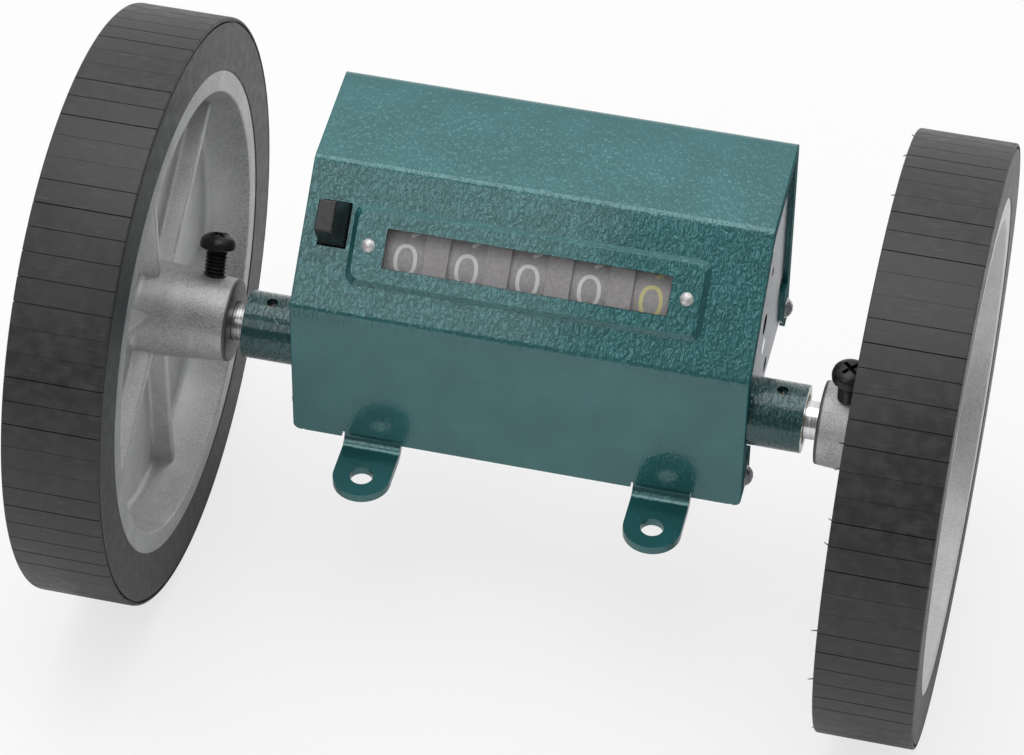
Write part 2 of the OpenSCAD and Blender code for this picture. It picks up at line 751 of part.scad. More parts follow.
// Return spring: a coil round the hammer bar's shaft
function spring_centre(u) = [spring_start + spring_rise * u, rocker_axis[0] + spring_coil_r * cos(360 * u),
    rocker_axis[1] + spring_coil_r * sin(360 * u)];
function spring_ring(u) = let (c = spring_centre(u), out = [0, cos(360 * u), sin(360 * u)])
    [for (k = [0:spring_sides - 1]) c + out * spring_wire_r * cos(360 * k / spring_sides)
        + [1, 0, 0] * spring_wire_r * sin(360 * k / spring_sides)];
spring_steps = spring_turns * spring_rings;

module return_spring() {
    points = [for (i = [0:spring_steps]) each spring_ring(i / spring_rings)];
    walls = [for (i = [0:spring_steps - 1]) for (k = [0:spring_sides - 1]) for (half = [0, 1])
        let (a = i * spring_sides + k, b = i * spring_sides + (k + 1) % spring_sides)
        half == 0 ? [a, b, b + spring_sides] : [a, b + spring_sides, a + spring_sides]];
    start_cap = [for (k = [1:spring_sides - 2]) [0, k + 1, k]];
    tail = spring_steps * spring_sides;
    end_cap = [for (k = [1:spring_sides - 2]) [tail, tail + k, tail + k + 1]];
    color("silver") polyhedron(points, concat(walls, start_cap, end_cap));
}

// Axle and wheels
module axle_shaft() {
    color("silver") rod_x([0, 0], -axle_end, axle_end, axle_r);
}

module drive_gear() {
    color("darkkhaki") difference() {
        gear_x([0, 0], axle_teeth, tooth_size, idler_angle, idler_x - lay_gap, drive_gear_w + 2 * lay_gap);
        rod_x([0, 0], idler_x - overrun, idler_x + drive_gear_w + overrun, axle_r + seat_gap);
    }
}

module tyre(is_left) {
    color([0.2, 0.2, 0.2])
    mirrored_left(is_left) rotate([90, 0, 90]) rotate_extrude()
        polygon([[rim_r, tyre_in], [wheel_r - tyre_bevel, tyre_in], [wheel_r, tyre_in + tyre_bevel],
                 [wheel_r, tyre_out - tyre_bevel], [wheel_r - tyre_bevel, tyre_out], [rim_r, tyre_out]]);
}

module spoke() {
    reach = barrel_r + hub_edge - hub_r;
    translate([hub_r, -rib_t / 2, web_in - rib_h]) cube([reach, rib_t, rib_h + web_t / 2]);
}

module rim(is_left, lean) {
    web_out = web_in + web_t;
    color([0.72, 0.72, 0.72])
    mirrored_left(is_left) difference() {
        union() {
            rotate([90, 0, 90]) rotate_extrude()
                polygon([[axle_r + seat_gap, hub_in], [hub_r - hub_edge, hub_in], [hub_r, hub_in + hub_edge],
                         [hub_r + hub_draft, web_in], [barrel_r - rim_draft, web_in], [barrel_r, rim_in],
                         [rim_r, rim_in], [rim_r, rim_out], [barrel_r, rim_out],
                         [barrel_r - rim_draft, web_out],
                         [hub_r, web_out], [hub_r, hub_out], [axle_r + seat_gap, hub_out]]);
            for (i = [0:spoke_count - 1])
                rotate([90, 0, 90]) rotate(spoke_turn + i * 360 / spoke_count) spoke();
        }
        rotate([-lean, 0, 0]) translate([set_screw_x, 0, 0])
            cylinder(r = set_screw_r + seat_gap, h = hub_r + overrun, $fn = small_fn);
    }
}

module set_screw(is_left, lean) {
    color([0.12, 0.12, 0.12])
    mirrored_left(is_left) rotate([-lean, 0, 0]) translate([set_screw_x, 0, 0]) difference() {
        union() {
            translate([0, 0, axle_r])
                cylinder(r = set_screw_r, h = set_screw_reach - axle_r - set_head_h + film, $fn = small_fn);
            translate([0, 0, set_screw_reach - set_head_h])
                cylinder(r = set_head_r, h = set_head_h / 2, $fn = small_fn);
            translate([0, 0, set_screw_reach - set_head_h / 2])
            cylinder(r1 = set_head_r, r2 = set_head_r * set_head_share, h = set_head_h / 2, $fn = small_fn);
        }
        for (turn = [0, 90]) rotate(turn)
            translate([-set_head_r / 2, -set_slot_w / 2, set_screw_reach - set_head_h / 2])
                cube([set_head_r, set_slot_w, set_head_h]);
    }
}

// Idler: a large gear and a small pinion in one piece
module idler_gear() {
    color("khaki") difference() {
        union() {
            gear_x(idler_axis, idler_teeth, tooth_size, idler_angle + 180 + 180 / idler_teeth,
                   idler_x, drive_gear_w);
            gear_x(idler_axis, idler_pinion_teeth, tooth_size, idler_to_drum_angle,
                   idler_pinion_x, idler_x - idler_pinion_x + film);
        }
        rod_x(idler_axis, idler_pinion_x - overrun, idler_x + drive_gear_w + overrun, shaft_r + running_gap);
    }
}

// Number drum: band, web, hub, gear, heart cam and carry teeth
function heart_r(a) = cam_min_r + (cam_max_r - cam_min_r) * (1 - cos(a)) / 2;
cam_steps = 36;
module heart_plan() {
    polygon([for (k = [0:cam_steps - 1]) let (a = 360 * k / cam_steps) [cos(a), sin(a)] * heart_r(a)]);
}

module number_drum(i) {
    x = drum_x(i);
    band_left = x - band_w / 2;
    band_right = x + band_w / 2;
    is_first = i == drum_count;
    back_turn = pinion_turn + 180;
    color(is_first ? [0.78, 0.72, 0.3] : [0.55, 0.54, 0.55])
    difference() {
        union() {
            tube_x(drum_axis, band_left, band_right, drum_r, drum_r - band_wall);
            rod_x(drum_axis, band_right - drum_web_t, band_right, drum_r - band_wall / 2);
            rod_x(drum_axis, band_left, band_left + drum_web_t, drum_r - band_wall / 2);
            rod_x(drum_axis, band_left, x + hub_end, drum_hub_r);
            if (is_first) gear_x(drum_axis, drum_drive_teeth, tooth_size,
                idler_to_drum_angle + 180 + 180 / drum_drive_teeth, band_right - film, gear_w + film);
            else gear_x(drum_axis, drum_teeth, transfer_size, pinion_turn, band_right - film, gear_w + film);
            translate([x + cam_x - film, 0, 0]) along_x(drum_axis) rotate(incline_angle + 90)
                linear_extrude(cam_w + film) heart_plan();
            if (i > 1) {
                rod_x(drum_axis, band_left - carry_w, band_left + film, carry_r);
                for (turn = [-carry_tooth_turn, carry_tooth_turn])
                    translate([band_left - carry_w, 0, 0]) along_x(drum_axis) rotate(back_turn + turn)
                        translate([carry_r - overrun, -carry_tooth_w / 2, 0])
                            cube([carry_tip_r - carry_r + overrun, carry_tooth_w, carry_w + film]);
            }
        }
        rod_x(drum_axis, band_left - carry_w - overrun, x + hub_end + overrun, drum_bore_r);
    }
}

module transfer_pinion(i) {
    left = drum_x(i) + band_w / 2 + play;
    color("ivory") difference() {
        gear_x(pinion_axis, pinion_teeth, transfer_size, pinion_turn + 180 + 180 / pinion_teeth,
               left, drum_gap - 2 * play);
        rod_x(pinion_axis, left - overrun, left + drum_gap, pinion_shaft_r + running_gap);
    }
}

// Reset button: a key with a sloping right side and lower side, its retaining collar and its stem
module button_cap() {
    side_x = button_w / 2;
    side_s = button_h / 2;
    intersection() {
        rotate([90, 0, 0]) linear_extrude(button_h, center = true)
            polygon([[-side_x, -collar_top - film], [side_x, -collar_top - film], [side_x, 0],
                     [side_x - button_slope_w, button_stand], [-side_x, button_stand]]);
        rotate([90, 0, 90]) linear_extrude(button_w, center = true)
            polygon([[-side_s, -collar_top - film], [side_s, -collar_top - film], [side_s, button_stand],
                     [-side_s + button_slope_h, button_stand], [-side_s, 0]]);
    }
}

module reset_button() {
    color([0.1, 0.1, 0.1])
    on_incline() translate([-button_reach, button_s, 0]) {
        button_cap();
        translate([-button_w / 2, -button_h / 2 - collar_lap, -collar_top - collar_t])
            cube([button_w, button_h + 2 * collar_lap, collar_t]);
        translate([-stem_w / 2, -stem_h / 2, -stem_end]) cube([stem_w, stem_h, stem_end - collar_top]);
    }
}

// Hammer bar: a tube on its shaft with a lever under the button and one arm for each drum's heart cam
module reset_rocker() {
    color("darkgray") difference() {
        union() {
            rod_x(rocker_axis, rocker_left, rocker_right, rocker_r);
            on_incline() translate([-button_reach - lever_w / 2, rocker_s, -rocker_depth - lever_drop]) {
                translate([0, 0, -lever_t]) cube([lever_w, lever_reach, lever_t]);
                translate([0, -rocker_r / 2, -lever_t]) cube([lever_w, lever_web, lever_drop + lever_t]);
            }
            for (i = [1:drum_count]) on_incline() {
                arm_x = drum_x(i) + cam_x + (cam_w - arm_w) / 2;
                translate([arm_x, rocker_s, -rocker_depth - arm_t / 2]) cube([arm_w, arm_reach, arm_t]);
            }
        }
        rod_x(rocker_axis, rocker_left - overrun, rocker_right + overrun, shaft_r + running_gap);
    }
}

cover();
window_lens();
number_mask();
window_rivets();
base_bracket();
base_rivets();
floor_plate();
side_plate(true);  // left_side_plate
side_plate(false);  // right_side_plate
bearing_sleeve(true);  // left_bearing_sleeve
bearing_sleeve(false);  // right_bearing_sleeve
bush(true);  // left_bush
bush(false);  // right_bush
cover_screws(true);  // left_cover_screws
cover_screws(false);  // right_cover_screws
tie_rods();
inner_shaft(drum_axis, shaft_r);  // drum_shaft
inner_shaft(pinion_axis, pinion_shaft_r);  // pinion_shaft
inner_shaft(idler_axis, shaft_r);  // idler_shaft
inner_shaft(rocker_axis, shaft_r);  // rocker_shaft
shaft_clips();
shaft_spacers();
button_guide();
return_spring();
axle_shaft();
rim(true, left_screw_lean);  // left_rim
rim(false, right_screw_lean);  // right_rim
tyre(true);  // left_tyre
tyre(false);  // right_tyre
set_screw(true, left_screw_lean);  // left_set_screw
set_screw(false, right_screw_lean);  // right_set_screw
drive_gear();
idler_gear();
for (i = [1:drum_count]) number_drum(i);
for (i = [1:drum_count - 1]) transfer_pinion(i);
reset_button();
reset_rocker();
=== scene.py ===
import math
import random

import bpy
from mathutils import Matrix, Vector


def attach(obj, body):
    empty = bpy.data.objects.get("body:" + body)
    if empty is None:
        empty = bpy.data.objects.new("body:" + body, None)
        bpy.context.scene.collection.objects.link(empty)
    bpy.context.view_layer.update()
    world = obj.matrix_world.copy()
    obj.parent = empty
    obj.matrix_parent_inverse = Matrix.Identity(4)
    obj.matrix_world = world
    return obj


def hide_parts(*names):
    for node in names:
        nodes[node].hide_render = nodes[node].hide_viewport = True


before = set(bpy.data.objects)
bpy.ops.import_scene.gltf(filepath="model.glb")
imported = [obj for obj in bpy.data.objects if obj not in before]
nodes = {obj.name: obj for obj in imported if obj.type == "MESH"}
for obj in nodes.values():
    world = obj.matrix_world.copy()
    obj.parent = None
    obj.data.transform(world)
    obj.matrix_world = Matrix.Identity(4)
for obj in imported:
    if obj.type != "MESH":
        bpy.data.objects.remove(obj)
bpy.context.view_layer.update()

MM = 0.001

# Shapes, in millimetres and degrees. Places along the axle are measured from its middle.
WHEEL_R = 53.05
TYRE_IN, TYRE_OUT = 61.4, 78.6
TREAD_DEPTH = 0.45
TREAD_CUTS = 78
TREAD_GROUP = 13
CUT_WIDTHS = (0.04, 0.06, 0.09, 0.14, 0.2)
SHOULDER = 0.5
RIM_IN, RIM_OUT = 61.55, 78.45
RIM_R = 43.6
BARREL_R = 39.8
BARREL_FOOT_R = 38.4
WEB_IN, WEB_OUT = 69.75, 72.75
WEB_HUB_R = 8.7
HUB_IN, HUB_OUT = 52.75, 76.15
HUB_R = 7.4
BORE_EDGE = 0.3
SPOKES = 6
FIRST_SPOKE = 31
RIB_TOP = 66.25
RIB_START, RIB_LENGTH = 7.9, 31.2
AXLE_R = 3.43
SET_SCREW_X = 57.35
DRUM_R = 10.0
DRUM_AXIS = Vector((0, 10.70575, 13.14144))
DRUM_MIDDLE_X = -0.4
DRUM_PITCH = 10.9
INCLINE_UP = Vector((0, 0.69766735, 0.71642185))
INCLINE_OUT = Vector((0, -0.71642185, 0.69766735))
FLOOR_Z = -53.05
FIGURE_STROKE = 0.68
FIGURE_STRETCH = 1.1
READING_ANGLE = -8.6
FIGURE_STEP = 36

# Where looks change, in millimetres: the window's opening along the axle and up the incline, the heights
# where the enamel's relief sets in and fades, the cover's cut ends, and the side plates' shaded part
WINDOW_LEFT, WINDOW_RIGHT = -25.65, 24.85
WINDOW_LOW, WINDOW_HIGH = 13.38, 20.38
RELIEF_SETS_IN = (8.5, 11.5)
RELIEF_FADES = (31.4, 33.9)
CUT_END = (40.5, 40.72)
SHADED_WITHIN = 39.72

# The glow's share in the floor where it is seen
FLOOR_GLOW = 0.72


# ---------------------------------------------------------------- tools

def nothing_selected():
    if bpy.context.object and bpy.context.object.mode != "OBJECT":
        bpy.ops.object.mode_set(mode="OBJECT")
    bpy.ops.object.select_all(action="DESELECT")


def only(piece):
    nothing_selected()
    piece.select_set(True)
    bpy.context.view_layer.objects.active = piece
    return piece


def new_piece(name):
    piece = bpy.context.object
    piece.name = name
    piece.data.name = name
    return piece


def edit(piece):
    only(piece)
    bpy.ops.object.mode_set(mode="EDIT")


def done():
    bpy.ops.object.mode_set(mode="OBJECT")


def settle(piece):
    """Puts the piece's place and turn into its mesh."""
    only(piece)
    bpy.ops.object.transform_apply(location=True, rotation=True, scale=True)
    return piece


def mend(piece, gap=0.0002 * MM):
    """Merges doubles and turns all faces outwards."""
    edit(piece)
    bpy.ops.mesh.select_all(action="SELECT")
    bpy.ops.mesh.remove_doubles(threshold=gap)
    bpy.ops.mesh.normals_make_consistent(inside=False)
    done()
    return piece


def smooth(piece, degrees=35):
    only(piece)
    bpy.ops.object.shade_smooth_by_angle(angle=math.radians(degrees))
    return piece


def copy_of(piece, name):
    only(piece)
    bpy.ops.object.duplicate()
    return new_piece(name)


def mirrored(piece, name=None):
    """The piece, or a copy of it under another name, on the other side of the middle."""
    other = copy_of(piece, name) if name else piece
    other.scale = (-1, 1, 1)
    settle(other)
    return mend(other)


def joined(pieces, name):
    nothing_selected()
    for p in pieces:
        p.select_set(True)
    bpy.context.view_layer.objects.active = pieces[0]
    bpy.ops.object.join()
    return new_piece(name)


def draw_line(name, points, closed=False):
    """A line of edges through the points, drawn by extruding one point."""
    nothing_selected()
    bpy.ops.mesh.primitive_plane_add(size=MM)
    piece = new_piece(name)
    bpy.ops.object.mode_set(mode="EDIT")
    bpy.ops.mesh.select_all(action="SELECT")
    bpy.ops.mesh.merge(type="CENTER")
    bpy.ops.transform.translate(value=Vector(points[0]) * MM)
    path = list(points) + ([points[0]] if closed else [])
    for a, b in zip(path, path[1:]):
        bpy.ops.mesh.extrude_region_move(TRANSFORM_OT_translate={"value": (Vector(b) - Vector(a)) * MM})
    done()
    return piece


def spun(piece, steps, axis=(1, 0, 0)):
    """Turns a drawn outline once round an axis, which is the axle line if none is given."""
    edit(piece)
    bpy.ops.mesh.select_all(action="SELECT")
    bpy.ops.mesh.spin(steps=steps, angle=math.tau, center=(0, 0, 0), axis=axis)
    done()
    return mend(piece)


def rounded(corners, steps=3):
    """Outline points (x, r) with each corner (x, r, radius) rounded off, as points in the XY plane."""
    out = []
    n = len(corners)
    for i, (x, r, rad) in enumerate(corners):
        p = Vector((x, r, 0))
        if rad <= 0:
            out.append(p)
            continue
        a = Vector((*corners[i - 1][:2], 0)) - p
        b = Vector((*corners[(i + 1) % n][:2], 0)) - p
        half = a.angle(b) / 2
        reach = rad / math.tan(half)
        start, end = p + a.normalized() * reach, p + b.normalized() * reach
        for k in range(steps + 1):
            t = k / steps
            out.append((start * (1 - t) + p * t) * (1 - t) + (p * (1 - t) + end * t) * t)
    return out


def block(name, low, high):
    """A box between two corners, in millimetres."""
    nothing_selected()
    low, high = Vector(low), Vector(high)
    bpy.ops.mesh.primitive_cube_add(size=1, location=(low + high) / 2 * MM, scale=(high - low) * MM)
    return settle(new_piece(name))


def turned_copies(piece, count, degrees, name):
    """Repeats a piece round the axle line, in one mesh."""
    nothing_selected()
    bpy.ops.object.empty_add(location=(0, 0, 0), rotation=(math.radians(degrees), 0, 0))
    turn = bpy.context.object
    only(piece)
    row = piece.modifiers.new("round the wheel", "ARRAY")
    row.count = count
    row.use_relative_offset = False
    row.use_object_offset = True
    row.offset_object = turn
    bpy.ops.object.modifier_apply(modifier=row.name)
    bpy.data.objects.remove(turn)
    piece.name = name
    piece.data.name = name
    return piece


def spin_about_axle(piece, degrees):
    piece.rotation_euler = (math.radians(degrees), 0, 0)
    return settle(piece)


def fit(piece, body, slot, finish, *stands_for):
    piece.data.materials.clear()
    piece.data.materials.append(finish)
    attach(piece, body)
    if stands_for:
        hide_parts(*stands_for)
    return piece


# ---------------------------------------------------------------- finishes

class Finish:
    """One procedural material, built up from named steps."""

    def __init__(self, name, colour, roughness, metallic=0.0):
        self.material = bpy.data.materials.new(name)
        self.material.use_nodes = True
        self.tree = self.material.node_tree
        self.shader = self.tree.nodes["Principled BSDF"]
        self.place = self.tree.nodes.new("ShaderNodeTexCoord").outputs["Object"]
        self.colour = None
        self.normal = None
        self.shader.inputs["Base Color"].default_value = (*colour, 1)
        self.shader.inputs["Roughness"].default_value = roughness
        self.shader.inputs["Metallic"].default_value = metallic

    def stretched(self, x, y, z):
        node = self.tree.nodes.new("ShaderNodeMapping")
        node.inputs["Scale"].default_value = (x, y, z)
        self.tree.links.new(self.place, node.inputs["Vector"])
        return node.outputs["Vector"]

    def grain(self, size, detail=2.0, warp=0.0, place=None, rough=0.5):
        """Noise with features of about the given size in millimetres."""
        node = self.tree.nodes.new("ShaderNodeTexNoise")
        node.inputs["Scale"].default_value = 1 / (size * MM)
        node.inputs["Detail"].default_value = detail
        node.inputs["Roughness"].default_value = rough
        node.inputs["Distortion"].default_value = warp
        self.tree.links.new(place or self.place, node.inputs["Vector"])
        return node.outputs["Fac"]

    def from_middle(self, start, end, low=0.0, high=1.0):
        """A value that changes between two distances, in millimetres, from the middle along the axle."""
        parts = self.tree.nodes.new("ShaderNodeSeparateXYZ")
        size = self.tree.nodes.new("ShaderNodeMath")
        size.operation = "ABSOLUTE"
        self.tree.links.new(self.place, parts.inputs["Vector"])
        self.tree.links.new(parts.outputs["X"], size.inputs[0])
        return self.ramp(size.outputs["Value"], start * MM, end * MM, low, high)

    def drive(self, socket, value):
        self.tree.links.new(value, self.shader.inputs[socket])
        return self

    def ramp(self, value, start, end, low=0.0, high=1.0):
        node = self.tree.nodes.new("ShaderNodeMapRange")
        node.interpolation_type = "SMOOTHSTEP"
        node.inputs["From Min"].default_value = start
        node.inputs["From Max"].default_value = end
        node.inputs["To Min"].default_value = low
        node.inputs["To Max"].default_value = high
        self.tree.links.new(value, node.inputs["Value"])
        return node.outputs["Result"]

    def tint(self, mask, low, high):
        """Base colour from one colour to another where the mask rises."""
        return self.painted(mask, high, low)

    def over(self, mask, colour):
        """A further colour over the base colour, where the mask is high."""
        return self.painted(mask, colour)

    def painted(self, mask, colour, ground=None):
        node = self.tree.nodes.new("ShaderNodeMix")
        node.data_type = "RGBA"
        self.tree.links.new(mask, node.inputs["Factor"])
        if ground:
            node.inputs["A"].default_value = (*ground, 1)
        else:
            self.tree.links.new(self.colour, node.inputs["A"])
        node.inputs["B"].default_value = (*colour, 1)
        self.colour = node.outputs["Result"]
        self.tree.links.new(self.colour, self.shader.inputs["Base Color"])
        return self

    def roughened(self, value, low, high):
        self.tree.links.new(self.ramp(value, 0.3, 0.7, low, high), self.shader.inputs["Roughness"])
        return self

    def product(self, first, second):
        node = self.tree.nodes.new("ShaderNodeMath")
        node.operation = "MULTIPLY"
        self.tree.links.new(first, node.inputs[0])
        self.tree.links.new(second, node.inputs[1])
        return node.outputs["Value"]

    def along(self, direction):
        """How far a place lies along a direction, in metres."""
        node = self.tree.nodes.new("ShaderNodeVectorMath")
        node.operation = "DOT_PRODUCT"
        node.inputs[1].default_value = direction
        self.tree.links.new(self.place, node.inputs[0])
        return node.outputs["Value"]

    def within(self, direction, low, high, blur):
        """One between two distances along a direction, in millimetres, and nought outside them."""
        way = self.along(direction)
        rise = self.ramp(way, (low - blur) * MM, low * MM)
        fall = self.ramp(way, high * MM, (high + blur) * MM, 1.0, 0.0)
        return self.product(rise, fall)

    def bump(self, value, depth, strength=1.0):
        """Relief of the given depth in millimetres."""
        node = self.tree.nodes.new("ShaderNodeBump")
        node.inputs["Distance"].default_value = depth * MM
        node.inputs["Strength"].default_value = strength
        self.tree.links.new(value, node.inputs["Height"])
        if self.normal:
            self.tree.links.new(self.normal, node.inputs["Normal"])
        self.normal = node.outputs["Normal"]
        self.tree.links.new(self.normal, self.shader.inputs["Normal"])
        return self

    def coat(self, weight, roughness):
        self.shader.inputs["Coat Weight"].default_value = weight
        self.shader.inputs["Coat Roughness"].default_value = roughness
        return self

    def set(self, socket, value):
        self.shader.inputs[socket].default_value = value
        return self


def shades(colour, low, high):
    """A darker and a lighter shade of a colour."""
    return tuple(c * low for c in colour), tuple(min(1, c * high) for c in colour)


def hammered_enamel(name, colour, on_case=False):
    """Metallic enamel with a fine leathery relief that breaks up what it reflects.

    On the case the relief is strong at some heights only, the window's cut edges carry painted shade, and
    the sheet's cut edges at the cover's ends are dull.
    """
    f = Finish(name, colour, 0.15, 0.3)
    cloud = f.grain(9.0, 2.0)
    f.tint(f.ramp(cloud, 0.35, 0.75), *shades(colour, 0.93, 1.1))
    relief = f.grain(0.75, 1.0, 0.9, f.stretched(1, 0.62, 0.62))
    waves = f.grain(2.6, 1.0, 0.4)
    if on_case:
        zone = relief_by_height(f)
        relief = f.product(relief, zone)
        waves = f.product(waves, zone)
    f.bump(relief, 0.3, 1.0)
    f.bump(waves, 0.06, 0.8)
    f.coat(0.6, 0.08)
    if on_case:
        # painted shade on the window's cut edges
        paint_window_edge_shade(f)
        dull_cut_ends(f)
    return f.material


def relief_by_height(f):
    """In full on the incline, a quarter below it and hardly any above."""
    height = f.along((0, 0, 1))
    fades = f.ramp(height, RELIEF_FADES[0] * MM, RELIEF_FADES[1] * MM, 1.0, 0.03)
    return f.product(fades, f.ramp(height, RELIEF_SETS_IN[0] * MM, RELIEF_SETS_IN[1] * MM, 0.25, 1.0))


def paint_window_edge_shade(f):
    """Painted shade, near black, on the window's cut edges.

    The mask has no limit in depth, so it also blackens a band along the lower edge of the cover's back.
    """
    # the painted shade covers the window's opening, across the axle and up the incline
    across = f.within((1, 0, 0), WINDOW_LEFT, WINDOW_RIGHT, 0.06)
    f.over(f.product(across, f.within(INCLINE_UP, WINDOW_LOW, WINDOW_HIGH, 0.06)), (0.01, 0.01, 0.01))


def dull_cut_ends(f):
    """Less gloss on the sheet's cut edges at both ends of the cover."""
    f.drive("Roughness", f.from_middle(*CUT_END, 0.15, 0.7))
    f.drive("Coat Weight", f.from_middle(*CUT_END, 0.6, 0.0))
    f.drive("Specular IOR Level", f.from_middle(*CUT_END, 0.5, 0.1))


def cast_metal():
    """Grainy grey, with painted light that lightens it towards the web and painted shade on the hub's inner
    end.
    """
    f = Finish("grainy cast aluminium", (0.5, 0.5, 0.5), 0.45, 0.6)
    sand = f.grain(0.35, 3.0, 0.0, None, 0.65)
    cloud = f.grain(6.0, 3.0, 0.5)
    f.tint(f.ramp(sand, 0.35, 0.7), (0.32, 0.32, 0.325), (0.57, 0.57, 0.57))
    f.over(f.ramp(cloud, 0.4, 0.7, 0.0, 0.4), (0.62, 0.62, 0.62))
    # painted light: lighter towards the web, whose inner side lies in shade
    f.over(f.from_middle(62.5, 69.0, 0.0, 0.35), (0.85, 0.85, 0.85))
    # painted shade, near black, on the hub's inner end, which faces the bearing sleeve
    f.over(f.from_middle(HUB_IN + 0.75, HUB_IN + 0.45), (0.1, 0.1, 0.1))
    f.bump(sand, 0.09, 0.6)
    f.bump(cloud, 0.4, 0.35)
    return f.roughened(sand, 0.36, 0.52).material


def tyre_rubber():
    f = Finish("matt black rubber", (0.045, 0.045, 0.046), 0.7)
    dust = f.grain(2.2, 4.0, 0.3)
    drag = f.grain(0.5, 3.0, 0.0, f.stretched(0.15, 1, 1))
    f.tint(f.ramp(dust, 0.35, 0.75), (0.022, 0.022, 0.023), (0.042, 0.042, 0.043))
    f.over(f.ramp(drag, 0.55, 0.8, 0.0, 0.5), (0.08, 0.08, 0.08))
    f.bump(drag, 0.05, 0.5)
    f.bump(f.grain(0.2, 3.0), 0.02, 0.6)
    return f.roughened(dust, 0.42, 0.55).material


def ground_steel(name, colour, roughness=0.16):
    f = Finish(name, colour, roughness, 1.0)
    rings = f.grain(0.25, 3.0, 0.0, f.stretched(1, 0.03, 0.03))
    f.tint(f.ramp(rings, 0.35, 0.65), *shades(colour, 0.8, 1))
    f.bump(rings, 0.01, 0.4)
    return f.roughened(rings, roughness * 0.8, roughness * 1.5).material


def zinc_sheet(name="dull zinc plate", colour=(0.66, 0.67, 0.7), painted_shade_within=None):
    f = Finish(name, colour, 0.42, 0.3)
    spangle = f.grain(1.2, 3.0, 0.4)
    f.tint(f.ramp(spangle, 0.3, 0.7), *shades(colour, 0.82, 1.12))
    # painted shade, near black, on the part of the plate nearer the middle than the given distance
    if painted_shade_within:
        f.over(f.from_middle(painted_shade_within, painted_shade_within - 0.06), (0.02, 0.02, 0.02))
    f.bump(f.grain(0.4, 2.0, 0.0, f.stretched(1, 0.2, 1)), 0.015, 0.4)
    return f.roughened(spangle, 0.36, 0.52).material


def dark_metal(name, colour, roughness, metallic=0.6):
    f = Finish(name, colour, roughness, metallic)
    skin = f.grain(0.5, 3.0, 0.2)
    f.tint(f.ramp(skin, 0.3, 0.75), *shades(colour, 0.75, 1.4))
    f.bump(skin, 0.02, 0.5)
    return f.roughened(skin, roughness * 0.8, roughness * 1.25).material


def moulded(name, colour, roughness):
    f = Finish(name, colour, roughness)
    skin = f.grain(0.6, 2.0)
    f.tint(f.ramp(skin, 0.3, 0.75), *shades(colour, 0.86, 1.1))
    f.bump(skin, 0.02, 0.4)
    return f.roughened(skin, roughness * 0.85, roughness * 1.2).material


def clear_plate():
    f = Finish("clear window plate", (0.8, 0.78, 0.8), 0.12)
    haze = f.grain(7.0, 2.0, 0.4)
    f.tint(f.ramp(haze, 0.3, 0.7), (0.76, 0.74, 0.76), (0.84, 0.82, 0.84))
    f.bump(haze, 0.02, 0.2)
    return f.set("Alpha", 0.05).material


def printed(name, colour):
    f = Finish(name, colour, 0.5)
    f.tint(f.ramp(f.grain(0.3, 2.0), 0.3, 0.7), *shades(colour, 0.93, 1))
    return f.material


GREEN = hammered_enamel("hammered green enamel", (0.03, 0.15, 0.158), True)
DARK_GREEN = hammered_enamel("dark hammered enamel", (0.013, 0.07, 0.073))
CAST = cast_metal()
RUBBER = tyre_rubber()
BRIGHT = ground_steel("ground bright steel", (0.78, 0.78, 0.79))
ZINC = zinc_sheet()
SIDE_ZINC = zinc_sheet("zinc side plates", (0.66, 0.68, 0.72), SHADED_WITHIN)
SPRING = dark_metal("drawn spring wire", (0.4, 0.4, 0.41), 0.3, 0.95)
SCREW = dark_metal("dark zinc screws", (0.42, 0.42, 0.43), 0.3, 0.9)
BLACK_STEEL = dark_metal("blackened steel", (0.012, 0.012, 0.013), 0.32, 0.3)
BRONZE = dark_metal("sintered bronze", (0.5, 0.33, 0.14), 0.42, 0.9)
BRASS = dark_metal("cut brass", (0.62, 0.44, 0.18), 0.28, 0.95)
BLACK_PLASTIC = moulded("black satin plastic", (0.02, 0.02, 0.021), 0.28)
# the drums' grey is lighter than the mask's as painted light, offsetting the shade that the mask and window
# edge cast on the drums
DRUM_GREY = moulded("mauve grey drum", (0.43, 0.412, 0.42), 0.5)
MASK_GREY = moulded("mauve grey number mask", (0.33, 0.316, 0.325), 0.5)
PINION = moulded("grey moulded pinions", (0.27, 0.26, 0.27), 0.4)
RIVET = dark_metal("tumbled nickel rivets", (0.66, 0.65, 0.65), 0.38, 0.45)
WINDOW = clear_plate()
WHITE_PRINT = printed("white figures", (0.95, 0.95, 0.94))
YELLOW_PRINT = printed("yellow figures", (0.85, 0.8, 0.32))

NODE_FINISH = {
    "cover": GREEN, "base_bracket": GREEN,
    "left_bearing_sleeve": DARK_GREEN, "right_bearing_sleeve": DARK_GREEN,
    "window_lens": WINDOW, "number_mask": MASK_GREY, "window_rivets": RIVET, "base_rivets": RIVET,
    "floor_plate": ZINC, "left_side_plate": SIDE_ZINC, "right_side_plate": SIDE_ZINC, "tie_rods": ZINC,
    "button_guide": ZINC, "reset_rocker": ZINC,
    "left_bush": BRONZE, "right_bush": BRONZE, "shaft_spacers": BRONZE,
    "left_cover_screws": SCREW, "right_cover_screws": SCREW,
    "drum_shaft": BRIGHT, "pinion_shaft": BRIGHT, "idler_shaft": BRIGHT, "rocker_shaft": BRIGHT,
    "axle_shaft": BRIGHT, "shaft_clips": SPRING, "return_spring": SPRING,
    "left_rim": CAST, "right_rim": CAST, "left_tyre": RUBBER, "right_tyre": RUBBER,
    "left_set_screw": BLACK_STEEL, "right_set_screw": BLACK_STEEL,
    "drive_gear": BRASS, "idler_gear": BRASS, "reset_button": BLACK_PLASTIC,
}


def finish_cad_nodes():
    for name, node in nodes.items():
        if name.startswith("number_drum"):
            finish = DRUM_GREY
        elif name.startswith("transfer_pinion"):
            finish = PINION
        else:
            finish = NODE_FINISH[name]
        node.data.materials.clear()
        node.data.materials.append(finish)


